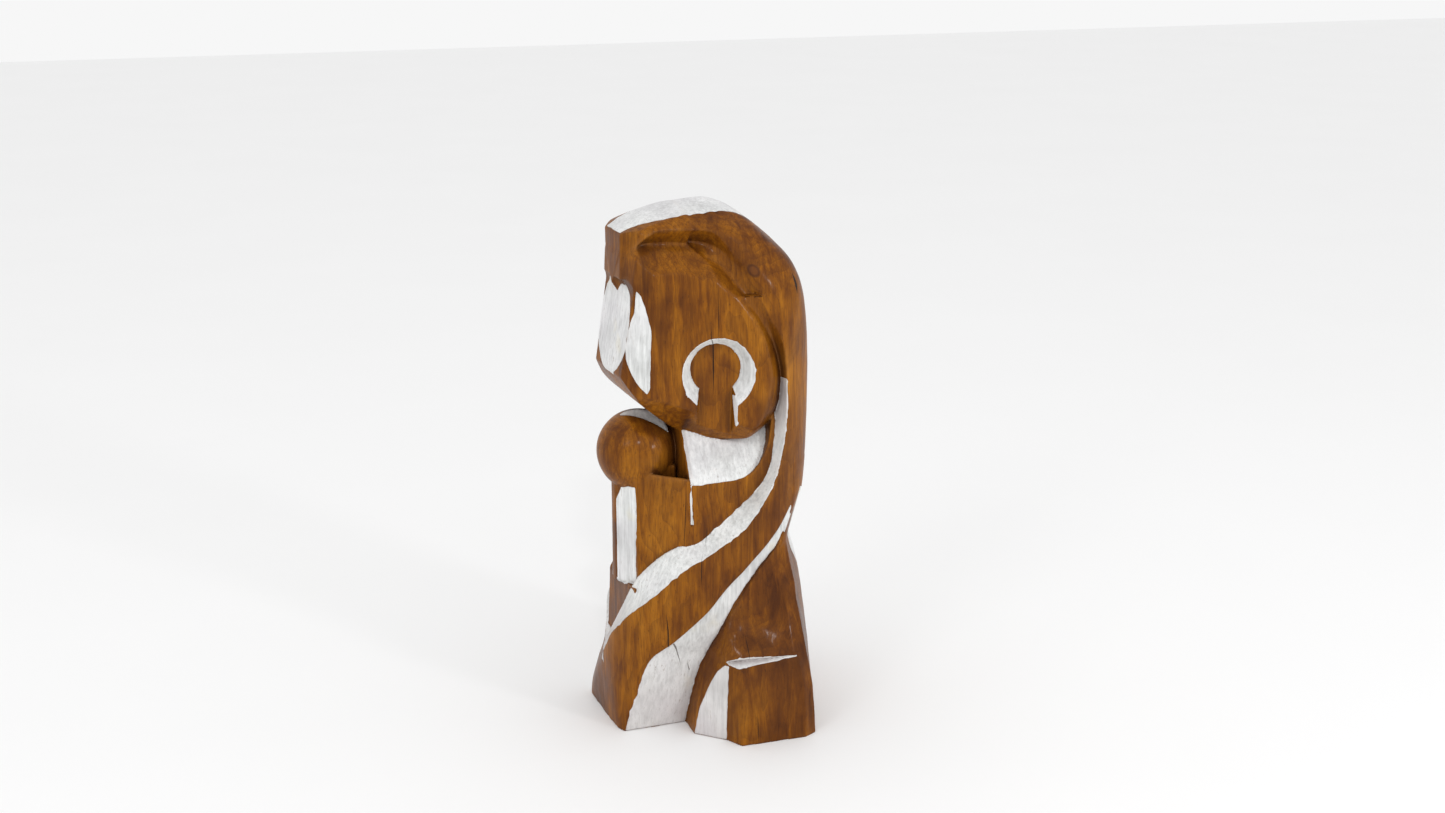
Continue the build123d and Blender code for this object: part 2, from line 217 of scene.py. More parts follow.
# Channel floor: half width at each height (z, x), and below the sash's right-hand foot
FLOOR_LEFT = [(-5, 31), (0, 32), (30, 40), (63, 49.5), (85, 58), (112, 61), (140, 59), (165, 56), (190, 53),
              (400, 53)]
FLOOR_RIGHT = [(-5, 45), (0, 45), (30, 48), (63, 52)] + FLOOR_LEFT[4:]
# How far in from the log's side the bevel meets the chest (y, distance along x)
BEVEL_REACH = [(-90, 27), (-73, 27), (-65, 24.5), (-60, 22), (-50, 18), (-40, 16), (-10, 15), (100, 15)]
# Half width of the log's front at each height (z, x)
FRONT_LEFT = [(-5, 58), (30, 58), (50, 61), (66, 63.6), (79, 65.3), (103, 68.7), (125, 70), (400, 70)]
# Half width of the chest, and how far forward it comes, at each height
CHEST_SIDE = [(40, 62), (104, 62), (150, 57), (197, 54), (236, 48), (260, 45)]
CHEST_FRONT = [(0, -66), (110, -66), (116, -62), (400, -62)]
# Flats across the right-hand end of the sash and of the lap, measured obliquely, at each height
RIGHT_END = [(-5, 91), (0, 90.3), (29, 82.7), (48, 77), (63, 75.5), (72, 76), (90, 79), (135, 90), (400, 200)]
RIGHT_LAP = [(40, 80), (63, 75.5), (72, 74.5), (90, 69.5), (110, 61), (120, 57)]
# How much further back the sash's right-hand end is cut, at each height
RIGHT_SHIFT = [(-5, 0), (36, 0), (55, 10), (72, 19), (90, 23), (103, 19), (116, 12), (130, 5), (142, 0),
               (400, 0)]

# Skirt and kneeling legs in level sections, each from the channel's corner round to the middle
# of the back: (height, corners as (x, y))
SKIRT = [
    (-6, [(31, -26), (54, -27.5), (73.8, -8), (88.4, -1), (90.8, 50), (85, 60), (45, 73), (0, 78)]),
    (0, [(32, -26), (55, -27), (74, -8), (88, -1), (90, 50), (85, 60), (45, 73), (0, 78)]),
    (21, [(36, -24), (58, -24), (74.3, -7.5), (86, -1.5), (88.5, 50), (84, 59), (44.5, 72), (0, 77.5)]),
    (39, [(41, -22), (61, -18), (74.5, -7), (83.8, -1), (87, 49), (83, 58), (44, 71.5), (0, 77)]),
    (54, [(47, -18.5), (67, -12.5), (74.8, -6.7), (81, -0.5), (85.5, 47), (81, 56), (43, 71), (0, 76.5)]),
    (60, [(51, -15.5), (72, -8.6), (75, -6.5), (80, 0), (85, 46), (80, 55), (43, 70.5), (0, 76.3)]),
    (66, [(54, -14), (69, -9), (76, -6), (80, 1), (84, 43), (79, 54), (42, 70), (0, 76)]),
    (86, [(61.5, -6), (67, -3.5), (71, 1), (74, 9), (76, 41), (73.5, 52), (40, 68), (0, 75)]),
    (103, [(63.6, 3), (65.5, 5), (67, 9), (68.6, 16), (70, 42), (68, 50), (38, 66.5), (0, 74)]),
    (115, [(63.8, 11), (64.4, 14), (65, 18), (66, 24), (66.8, 43), (65, 50), (36, 65), (0, 73)]),
    (130, [(62.8, 23), (63, 25), (63.1, 28), (63, 32), (62.2, 42), (60, 48), (34, 62), (0, 70)]),
    (145, [(60.5, 38), (60.4, 39.5), (60, 41), (59, 42.5), (57.5, 44.5), (55, 47), (32, 58), (0, 67)]),
    (165, [(53.5, 48.5), (53, 49), (52.5, 49.5), (52, 50), (51.5, 50.5), (50, 51), (30, 56), (0, 63)]),
    (185, [(46, 55), (45, 55.5), (44, 56), (43, 56.5), (42, 57), (40, 57), (25, 59), (0, 60)]),
]
SKIRT_HEIGHTS = [height for height, _ in SKIRT]
SKIRT_INSIDE = -40.0      # the skirt's sections close across the middle, past this x

window = Outline(curve(WINDOW_EDGE) + [(-84, 340), (-130, 340), (-130, 40), (-84, 40)])
window_floor = Outline(curve(WINDOW_FLOOR) + [(-130, 330), (-130, 34)])
below_hem = Outline([(110, 186)] + curve([(70, 186)] + HEM_EDGE) + [(-76, -30), (110, -30)])
profile = Outline([(-100, -30), (-100, 340), (-90, 366)] + curve(MANTLE_BACK) + [(92, 140), (92, -30)])
arch = Outline([(-29, 394), (0, HEIGHT), (29, 394)] + curve(SHOULDER)
               + [(71, 200), (71, -30), (-71, -30), (-71, 285), (-42, 383)])
visor = Outline([(-60, -68)] + curve(VISOR) + [(110, 50), (110, 110), (-60, 110)])
head_side = Outline([(-86, 346), (-86, 284)] + curve(JAW)[:-1] + curve(NAPE)
                    + [(-8, 377), (-60, 377), (-69, 350)])
collar_cut = Outline([(-28.4, -1)] + curve([(-12, 0), (1, 0), (16, 3), (27, 12), (34, 25), (37, 40)])
                     + [(37, 70), (-28.4, 70)])


# --- Masses and cuts ---
# Each function adds its fields to f. Points are given by x, y, z and by a, the distance from
# the middle plane, in which the figure is symmetric.

def half_log(x, y, z):
    """The rounded log: fuller at the front, narrowing to the foot, squarer on the right.
    Also gives how far it is, across the figure, from a point out to the log's side."""
    a = np.abs(x)
    front = 1.0 - ramp(y, -12.0, 12.0)
    right_foot = (x < 0) * (1.0 - ramp(z, 10.0, 50.0))
    power = 2.0 + front * (0.6 + 1.3 * right_foot)
    width = LOG_HALF_WIDTH + front * (1.0 - (x < 0)) * (along(z, FRONT_LEFT) - LOG_HALF_WIDTH)
    depth = np.abs(y) / LOG_HALF_DEPTH
    reach = ((a / width + 1e-6) ** power + (depth + 1e-6) ** power) ** (1.0 / power)
    radial = np.sqrt(a * a + y * y)
    to_side = width * np.maximum(1.0 - depth ** power, 0.0) ** (1.0 / power) - a
    return (reach - 1.0) * radial / reach, to_side


def right_end(x, y, z, knots):
    """A flat hewn obliquely across the right-hand end of the sash or of the lap."""
    return np.where(x < 0, -0.355 * x - 0.935 * y - along(z, knots), FAR_OUTSIDE)


def outer_log(x, y, z):
    """The log dressed to the crown's profile, before the figure is cut from it."""
    log, to_side = half_log(x, y, z)
    body = smooth_max(log, arch(np.abs(x), z + along(y, CROWN_DROP)), 1.5 + 8.0 * ramp(y, -5.0, 30.0))
    body = smooth_max(body, profile(y, z), 1.5 + 13.0 * ramp(y, 0.0, 50.0))
    front = -y - (LOG_HALF_DEPTH - 0.07 * np.maximum(55.0 - z, 0.0))
    return smooth_max(smooth_max(body, front, 3.0), right_end(x, y, z, RIGHT_END), 3.0), to_side


def add_mantle(f, x, a, y, z):
    """The mantle with the visor and the sash, and the core between the two channels."""
    outer, to_side = outer_log(x, y, z)
    visor_zone = np.where(z > VISOR_BOTTOM, np.maximum(visor(a, y), FOREHEAD - y), FAR_OUTSIDE)
    f["outer"] = smooth_max(outer, visor_zone, 1.5)
    depth = np.clip(-f["outer"], -20.0, 20.0)
    # bevel above the sash and round the head, from its edge on the log to its edge on the chest
    high = ramp(z, 215.0, 265.0)
    reach = along(y, BEVEL_REACH)
    inward = np.clip(high * depth / BEVEL_DEPTH + (1.0 - high) * to_side / reach, -0.4, 1.0 + 0.5 * high)
    cut_y = y - (x < 0) * along(z, RIGHT_SHIFT)
    f["bevel"] = -0.85 * ((1.0 - inward) * window(cut_y, z) + inward * window_floor(cut_y, z))
    f["bevel"] = f["bevel"] + 0.4 * (1.0 - high) * np.maximum(to_side - reach, 0.0)
    # the hem hangs lower at the middle of the back
    dip = BACK_DIP * (1.0 - ramp(a, 12.0, 50.0)) * ramp(y, 30.0, 50.0)
    f["hem"] = (-below_hem(y, z + dip) - depth * 0.4) / 1.08
    brow = (343.0 + 1.44 * a - 0.35 * (y - FOREHEAD) - z) / 1.79
    brow = all_of([brow, f["outer"], y + 22.0, 340.0 - z], 0.8)
    edge = 0.8 + 7.0 * ramp(z, 300.0, 330.0) * ramp(y, -8.0, 12.0)
    f["mantle"] = smooth_max(smooth_max(f["outer"], f["bevel"], edge), f["hem"], 0.8)
    f["mantle"] = smooth_min(f["mantle"], brow, 2.0)

    floor_half = np.where(x < 0, along(z, FLOOR_RIGHT), along(z, FLOOR_LEFT))
    f["floor"] = (a - floor_half) * 0.97
    f["undercut"] = (y - (67.0 + 0.30 * (z - 152.0) - 0.0070 * a * a)) * 0.9
    core = all_of([outer, f["floor"], f["undercut"], z - 205.0], 0.8)
    f["core"] = smooth_max(core, f["bevel"], 0.8)


def add_torso(f, x, a, y, z):
    """The chest, hewn in flat faces, with the collars. It stands on the fields of the mantle."""
    f["collar"] = plane(a, y, z, (35, 0, 18), (54, -2, COLLAR_FOOT))
    f["collar_field"] = collar_cut(y, (z - COLLAR_FOOT) * 0.889 - (a - 54.0) * 0.457)
    lean = plane(a, y, z, (1, -0.987, 0.133), (54, -28, COLLAR_FOOT))
    flank = plane(a, y, z, (29, -8, 0), (57, -29, 0))
    side = (a - along(z, CHEST_SIDE)) * 0.98
    breast = smooth_max(smooth_max(lean, flank, 9.0), side, 3.0)
    torso = all_of([along(z, CHEST_FRONT) - y, breast, y - 40.0, z - 250.0, f["floor"]], 0.8)
    torso = smooth_max(torso, np.minimum(f["collar"], -f["collar_field"]), 0.8)
    # recess behind the child's head, down to a ledge
    ledge = (203.0 + 0.8 * lean - z) * 0.78
    f["torso"] = smooth_max(torso, -np.maximum(y + 28.6, ledge), 3.0)


def add_child(f, x, a, y, z):
    """The lap, the child's body and its head."""
    lap_top = plane(a, y, z, (0, -1, -0.27), (0, -66, 114))
    lap_end = right_end(x, y, z, RIGHT_LAP)
    f["lap"] = all_of([lap_top, a - 34.0, z - 114.0, 46.0 - z, y + 20.0, lap_end], 0.8)
    f["child_side"] = plane(a, y, z, (10, -22, 0), CHILD_CORNER)
    f["child_under"] = plane(a, y, z, (5, -8, -10), (20, -66, 117))
    front = CHILD_CORNER[1] - y
    edges = [a - 26.0, f["child_under"], 110.5 - z, z - 205.0, y + 30.0]
    f["child"] = all_of([front, f["child_side"]] + edges, 0.8)
    bx, by, bz = x - BALL_CENTRE[0], y - BALL_CENTRE[1], z - BALL_CENTRE[2]
    ball = np.sqrt(bx * bx + by * by + bz * bz) - BALL_RADIUS
    # a notch at the upper rear, whose lower face carries the crescent of paint
    f["crescent"] = plane(x, y, z, (0.654, -0.175, 0.735), (6, -42, 240))
    f["notch_line"] = plane(x, y, z, (-0.541, 0.571, 0.617), (11.1, -47.4, 234.1))
    f["ball"] = smooth_max(ball, np.minimum(f["crescent"], f["notch_line"]), 0.6)


def add_head(f, x, a, y, z):
    """The mother's head: flat cheeks with the ears, chamfers round them, and the face's facets."""
    f["face"] = plane(a, y, z, (0, -1, 0.16), (0, FOREHEAD, FACE_MIDDLE))
    f["cheek"] = plane(a, y, z, (1, -1, 0.12), (CHEEK_EDGE, FOREHEAD, FACE_MIDDLE))
    f["temple"] = plane(a, y, z, (1, -0.176, 0.07), EAR_CENTRE)
    jaw = plane(a, y, z, (1, -0.55, -1), (51, -28, 252))
    rear = (a + y - along(z, HEAD_REAR)) * 0.68
    top = (a + z - along(y, HEAD_TOP)) * 0.7
    head = all_of([f["temple"], jaw, top], 1.6)
    head = smooth_max(head, rear, 4.0)
    head = smooth_max(head, head_side(y, z), 2.5)
    f["head"] = all_of([head, f["face"], f["cheek"]], 0.8)

    # ear: a funnel with a round floor, and a stem down to the jaw
    ear_y = (y - EAR_CENTRE[1]) * 0.985 + (a - EAR_CENTRE[0]) * 0.173
    ear_z = z - EAR_CENTRE[2]
    sunk = np.clip(-f["temple"] / EAR_DEPTH, -0.5, 1.0)
    round_ear = np.sqrt((ear_y + sunk) ** 2 + (ear_z - 2.0 * sunk) ** 2)
    f["ear_wall"] = (round_ear - (EAR_RADIUS - sunk * (EAR_RADIUS - EAR_FLOOR_RADIUS))) * 0.76
    f["ear_floor"] = -f["temple"] - EAR_DEPTH + 0.05 * ear_z
    f["ear"] = np.maximum(f["ear_wall"], f["ear_floor"])
    flare = 0.02 * ear_z - 0.25 * np.clip(f["temple"] + EAR_DEPTH, 0.0, 20.0)
    stem_wall = np.abs(ear_y - 0.06 * ear_z) - EAR_STEM_HALF_WIDTH + flare
    f["stem"] = all_of([stem_wall, f["ear_floor"], ear_z], 1.0)


def add_skirt(f, x, a, y, z):
    """The skirt and the kneeling legs, between level sections that turn into one another."""
    level = np.clip(z, SKIRT_HEIGHTS[0], SKIRT_HEIGHTS[-1])
    corners = []
    for i in range(len(SKIRT[0][1])):
        corners.append(tuple(np.interp(level, SKIRT_HEIGHTS, [section[i][axis] for _, section in SKIRT])
                             for axis in (0, 1)))
    middle = np.full_like(level, SKIRT_INSIDE)
    corners += [(middle, corners[-1][1]), (middle, corners[0][1])]
    nearest = np.inf
    inside = False
    for (ax, ay), (cx, cy) in zip(corners, corners[1:] + corners[:1]):
        dx, dy = cx - ax, cy - ay
        ux, uy = a - ax, y - ay
        t = np.clip((ux * dx + uy * dy) / np.maximum(dx * dx + dy * dy, 1e-6), 0.0, 1.0)
        nearest = np.minimum(nearest, (ux - t * dx) ** 2 + (uy - t * dy) ** 2)
        steep = np.where(np.abs(dy) < 1e-6, 1e-6, dy)
        inside = inside ^ (((ay > y) != (cy > y)) & (a < dx * (y - ay) / steep + ax))
    f["skirt"] = smooth_max(np.where(inside, -1.0, 1.0) * np.sqrt(nearest) * 0.96, z - 186.0, 0.8)


def add_cuts(f, x, a, y, z):
    """The cuts and hollows that go through more than one mass."""
    # V-cut along the top of the shin, deep at the knee and running out behind
    run = np.clip((y + 13.0) / 62.0, 0.0, 1.0)
    bottom = 75.0 + 9.5 * run ** 0.7 - (5.5 * (1.0 - run) ** 0.8 - 0.3)
    groove = np.abs(z - (62.5 + 2.5 * run)) * 0.82 - (a - bottom) * 0.57
    groove = np.maximum(groove, np.maximum(-17.0 - y, y - 49.0))
    f["groove"] = np.maximum(groove, 58.0 - a)
    # fine cut from the collar's corner down the chest
    t = np.clip((197.5 - z) / 30.5, 0.0, 1.0)
    kerf = np.sqrt((a - (53.4 + 1.0 * t)) ** 2 + (y - (-28.2 + 0.5 * t)) ** 2)
    f["kerf"] = np.maximum(kerf - 1.1 + 0.3 * t, np.maximum(z - 198.5, KERF_FOOT - z))
    # shallow hollow left by the gouge between the head and the mantle
    up = z - 353.0
    f["hollow"] = np.sqrt((a - 61.0) ** 2 + ((y - 3.0) / 1.1 + 0.3 * up) ** 2 + (up * 0.8) ** 2) - 14.0
    # soft hollow of the skirt under the sash
    f["thigh_hollow"] = np.sqrt((a - 88.0) ** 2 + ((y - 11.0) * 0.8) ** 2 + ((z - 102.0) * 0.8) ** 2) - 24.0


def parts_of(x, y, z):
    """The fields of the carving's masses and of the faces that bound them."""
    a = np.abs(x)
    f = {}
    for add_mass in (add_mantle, add_torso, add_child, add_head, add_skirt, add_cuts):
        add_mass(f, x, a, y, z)
    return f


def carve(f, z):
    """The whole block from its masses and cuts."""
    wood = smooth_min(f["mantle"], f["core"], 0.8)
    for name, fillet in (("torso", 0.8), ("lap", 0.6), ("child", 0.6), ("skirt", 0.8), ("ball", 0.6)):
        wood = smooth_min(wood, f[name], fillet)
    head = smooth_max(smooth_max(f["head"], -f["ear"], 0.6), -f["stem"], 0.6)
    eased = 5.0 * ramp(z, 285.0, 330.0) + 9.0 * ramp(z, 322.0, 345.0)
    wood = smooth_min(wood, head, 1.0 + eased * (1.0 - ramp(z, 362.0, 376.0)))
    for name, fillet in (("hollow", 2.5), ("thigh_hollow", 9.0), ("groove", 0.5), ("kerf", 0.4)):
        wood = smooth_max(wood, -f[name], fillet)
    return smooth_max(wood, -z, 0.8)


def distance(points):
    x, y, z = points.T
    return carve(parts_of(x, y, z), z)


def slope(points, reach=0.4):
    """Direction in which the distance grows fastest."""
    grad = np.empty_like(points)
    for axis in range(3):
        step = np.zeros(3)
        step[axis] = reach
        grad[:, axis] = distance(points + step) - distance(points - step)
    return grad / (2 * reach)


# --- From the field to a mesh ---

def surface_net(field, origin, step):
    """Vertices and quads of the surface where the field is zero."""
    inside = field < 0
    count = np.zeros([n - 1 for n in field.shape], np.uint8)
    for i in (0, 1):
        for j in (0, 1):
            for k in (0, 1):
                count += inside[i:i + count.shape[0], j:j + count.shape[1], k:k + count.shape[2]]
    mixed = (count > 0) & (count < 8)
    cells = np.argwhere(mixed)
    number = np.full(mixed.shape, -1, np.int64)
    number[mixed] = np.arange(len(cells))
    total = np.zeros((len(cells), 3))
    hits = np.zeros(len(cells))
    for axis in range(3):
        others = [i for i in range(3) if i != axis]
        for i in (0, 1):
            for j in (0, 1):
                start = cells.copy()
                start[:, others[0]] += i
                start[:, others[1]] += j
                end = start.copy()
                end[:, axis] += 1
                f0 = field[tuple(start.T)]
                f1 = field[tuple(end.T)]
                cross = (f0 < 0) != (f1 < 0)
                t = np.where(cross, f0 / np.where(cross, f0 - f1, 1.0), 0.0)
                spot = start.astype(float)
                spot[:, axis] += t
                total += spot * cross[:, None]
                hits += cross
    vertices = np.array(origin) + step * total / hits[:, None]
    quads = []
    for axis in range(3):
        u, v = [(1, 2), (2, 0), (0, 1)][axis]
        low = [slice(1, -1)] * 3
        high = [slice(1, -1)] * 3
        low[axis] = slice(0, -1)
        high[axis] = slice(1, None)
        first, second = inside[tuple(low)], inside[tuple(high)]
        spots = np.argwhere(first != second)
        leaving = first[tuple(spots.T)]
        for other in (u, v):
            spots[:, other] += 1
        ring = []
        for du, dv in [(0, 0), (-1, 0), (-1, -1), (0, -1)]:
            cell = spots.copy()
            cell[:, u] += du
            cell[:, v] += dv
            ring.append(number[tuple(cell.T)])
        ring = np.stack(ring, 1)
        ring[~leaving] = ring[~leaving][:, ::-1]
        quads.append(ring)
    return vertices, np.concatenate(quads)


def triangles_of(quads):
    return np.concatenate([quads[:, [0, 1, 2]], quads[:, [0, 2, 3]]])


def vertex_normals(vertices, triangles):
    p = vertices[triangles]
    face = np.cross(p[:, 1] - p[:, 0], p[:, 2] - p[:, 0])
    normals = np.zeros_like(vertices)
    for corner in range(3):
        for axis in range(3):
            normals[:, axis] += np.bincount(triangles[:, corner], face[:, axis], len(vertices))
    return normals / np.maximum(np.linalg.norm(normals, axis=1), 1e-9)[:, None]


def compact(points, faces):
    """The points that the faces use, and the faces renumbered to match."""
    used = np.unique(faces)
    renumber = np.full(len(points), -1)
    renumber[used] = np.arange(len(used))
    return points[used], renumber[faces]


def clipped(vertices, triangles, region):
    """The part of a triangle mesh where the region's value is below zero."""
    keep = region < 0
    state = keep[triangles].sum(1)
    whole = triangles[state == 3]
    points = [vertices]
    cache = {}
    extra = []
    made = []

    def split(i, j):
        key = (min(i, j), max(i, j))
        if key not in cache:
            t = region[i] / (region[i] - region[j])
            cache[key] = len(vertices) + len(extra)
            extra.append(vertices[i] * (1 - t) + vertices[j] * t)
        return cache[key]

    for tri in triangles[(state == 1) | (state == 2)]:
        inside = [bool(keep[i]) for i in tri]
        odd = inside.index(sum(inside) == 1)
        a, b, c = (int(tri[(odd + n) % 3]) for n in range(3))
        ab, ac = split(a, b), split(a, c)
        if inside[odd]:
            made.append((a, ab, ac))
        else:
            made.append((ab, b, c))
            made.append((ab, c, ac))
    if extra:
        points.append(np.array(extra))
    faces = np.concatenate([whole, np.array(made, np.int64).reshape(-1, 3)])
    return compact(np.concatenate(points), faces)


def largest_patches(count, triangles, least):
    """The triangles of the connected patches that have at least the least number of them."""
    label = np.arange(count)
    while True:
        low = label[triangles].min(1)
        fresh = label.copy()
        for corner in range(3):
            np.minimum.at(fresh, triangles[:, corner], low)
        fresh = fresh[fresh]
        if np.array_equal(fresh, label):
            break
        label = fresh
    owner = label[triangles[:, 0]]
    sizes = np.bincount(owner, minlength=count)
    return triangles[sizes[owner] >= least]


def coat_shell(vertices, triangles, normals, above, below):
    """A closed thin shell that follows a patch of the surface."""
    count = len(vertices)
    edges = np.concatenate([triangles[:, [0, 1]], triangles[:, [1, 2]], triangles[:, [2, 0]]])
    key = edges[:, 0] * count + edges[:, 1]
    twin = edges[:, 1] * count + edges[:, 0]
    rim = edges[~np.isin(key, twin)]
    top = vertices + normals * above
    bottom = vertices - normals * below
    faces = [tuple(t) for t in triangles.tolist()]
    faces += [(c + count, b + count, a + count) for a, b, c in triangles.tolist()]
    faces += [(b, a, a + count, b + count) for a, b in rim.tolist()]
    return np.concatenate([top, bottom]), faces


def new_object(name, vertices, faces, material):
    mesh = bpy.data.meshes.new(name)
    mesh.from_pydata((vertices * MM).tolist(), [], faces)
    mesh.validate()
    mesh.materials.append(material)
    obj = bpy.data.objects.new(name, mesh)
    bpy.context.scene.collection.objects.link(obj)
    mesh.shade_smooth()
    return obj


def mark_relief(obj):
    """Keep, at each vertex, how deep in a hollow it lies, which sets how much shade is painted there, and how
    near an edge of the wood it lies.
    """
    mesh = obj.data
    count = len(mesh.vertices)
    places = np.empty(count * 3)
    mesh.vertices.foreach_get("co", places)
    places = places.reshape(-1, 3) / MM
    outward = np.empty(count * 3)
    mesh.vertices.foreach_get("normal", outward)
    outward = outward.reshape(-1, 3)
    near = np.clip(1.0 - distance(places + outward * 4.0) / 4.0, 0.0, 1.0)
    far = np.clip(1.0 - distance(places + outward * 14.0) / 14.0, 0.0, 1.0)
    edge = np.clip((distance(places - outward * 2.0) + 1.75) / 1.4, 0.0, 1.0)
    for name, values in (("crease_shade", np.maximum(near, 0.55 * far)), ("edge", edge)):
        layer = mesh.attributes.new(name, "FLOAT", "POINT")
        layer.data.foreach_set("value", values.astype(np.float32))


# --- Materials ---

class Nodes:
    """Short calls for building a material's node tree."""

    def __init__(self, name):
        self.material = bpy.data.materials.new(name)
        self.material.use_nodes = True
        self.tree = self.material.node_tree
        self.shader = self.tree.nodes["Principled BSDF"]

    def add(self, kind, inputs=(), **settings):
        node = self.tree.nodes.new(kind)
        for key, value in settings.items():
            setattr(node, key, value)
        for key, value in dict(inputs).items():
            if isinstance(value, bpy.types.NodeSocket):
                self.tree.links.new(value, node.inputs[key])
            else:
                node.inputs[key].default_value = value
        return node

    def math(self, operation, a, b=0.0):
        return self.add("ShaderNodeMath", {0: a, 1: b}, operation=operation).outputs[0]

    def plus(self, a, b):
        return self.math("ADD", a, b)

    def minus(self, a, b):
        return self.math("SUBTRACT", a, b)

    def times(self, a, b):
        return self.math("MULTIPLY", a, b)

    def fit(self, value, low, high, to_low=0.0, to_high=1.0):
        """The value carried from one range to another, and held at its ends."""
        node = self.add("ShaderNodeMapRange", {"Value": value, "From Min": low, "From Max": high,
                                               "To Min": to_low, "To Max": to_high})
        return node.outputs["Result"]

    def noise(self, vector, scale, detail=4.0, roughness=0.55, distortion=0.0):
        node = self.add("ShaderNodeTexNoise", {"Vector": vector, "Scale": scale, "Detail": detail,
                                               "Roughness": roughness, "Distortion": distortion})
        return node.outputs["Fac"]

    def scaled(self, vector, sizes, shift=(0, 0, 0)):
        node = self.add("ShaderNodeMapping", {"Vector": vector, "Scale": sizes, "Location": shift})
        return node.outputs["Vector"]

    def mix(self, amount, first, second, blend="MIX"):
        node = self.tree.nodes.new("ShaderNodeMix")
        node.data_type = "RGBA"
        node.blend_type = blend
        for socket, value in ((node.inputs[0], amount), (node.inputs[6], first), (node.inputs[7], second)):
            if isinstance(value, bpy.types.NodeSocket):
                self.tree.links.new(value, socket)
            else:
                socket.default_value = value
        return node.outputs[2]

    def ramp(self, value, stops):
        node = self.add("ShaderNodeValToRGB", {"Fac": value})
        elements = node.color_ramp.elements
        while len(elements) < len(stops):
            elements.new(0.5)
        for element, (place, colour) in zip(elements, stops):
            element.position = place
            element.color = (*colour, 1.0)
        return node.outputs["Color"]

    def attribute(self, name):
        return self.add("ShaderNodeAttribute", attribute_name=name).outputs["Fac"]

    def feed(self, **sockets):
        for name, value in sockets.items():
            socket = self.shader.inputs[name.replace("_", " ")]
            if isinstance(value, bpy.types.NodeSocket):
                self.tree.links.new(value, socket)
            else:
                socket.default_value = value


KNOT = (0.057, 0.018, 0.353)
PITH = (0.012, 0.010)     # the log's centre
KNOT_REACH = 0.045        # how far from the knot's middle the growth rings bend round it
# Drying cracks: (x, y) at the crack's middle, its lowest and highest point in metres, half width in mm
CRACKS = [
    ((0.0530, -0.0330), 0.146, 0.196, 0.28),
    ((0.0460, -0.0080), 0.262, 0.318, 0.50),
    ((0.0520, -0.0060), 0.296, 0.346, 0.22),
    ((0.0450, 0.0480), 0.333, 0.349, 1.10),
    ((0.0610, -0.0200), 0.150, 0.168, 0.22),
    ((0.0660, -0.0240), 0.122, 0.150, 0.30),
    ((0.0580, -0.0480), 0.052, 0.106, 0.45),
    ((0.0600, -0.0420), 0.034, 0.058, 0.35),
    ((0.0780, 0.0080), 0.062, 0.082, 0.30),
    ((0.0850, 0.0120), 0.000, 0.024, 0.30),
]


def crack_lines(n, place, wander):
    """One where a drying crack runs, and nothing elsewhere. A crack is an upright sheet that
    points to the pith, on the side of it where its middle lies."""
    xyz = n.add("ShaderNodeSeparateXYZ", {0: place})
    along_x = n.plus(xyz.outputs[0], wander)
    total = None
    for (cx, cy), low, high, half in CRACKS:
        dx = n.minus(along_x, cx)
        dy = n.minus(xyz.outputs[1], cy)
        size = math.hypot(cx - PITH[0], cy - PITH[1])
        nx, ny = -(cy - PITH[1]) / size, (cx - PITH[0]) / size
        across = n.math("ABSOLUTE", n.plus(n.times(dx, nx), n.times(dy, ny)))
        middle, half_length = 0.5 * (low + high), 0.5 * (high - low)
        lift = n.math("ABSOLUTE", n.minus(xyz.outputs[2], middle))
        taper = n.fit(lift, 0.3 * half_length, half_length, half * MM, 0.0)
        hit = n.math("LESS_THAN", n.plus(across, 0.00004), taper)
        outward = n.plus(n.times(dx, ny), n.times(dy, -nx))
        hit = n.times(hit, n.math("GREATER_THAN", outward, -0.02))
        total = hit if total is None else n.math("MAXIMUM", total, hit)
    return total


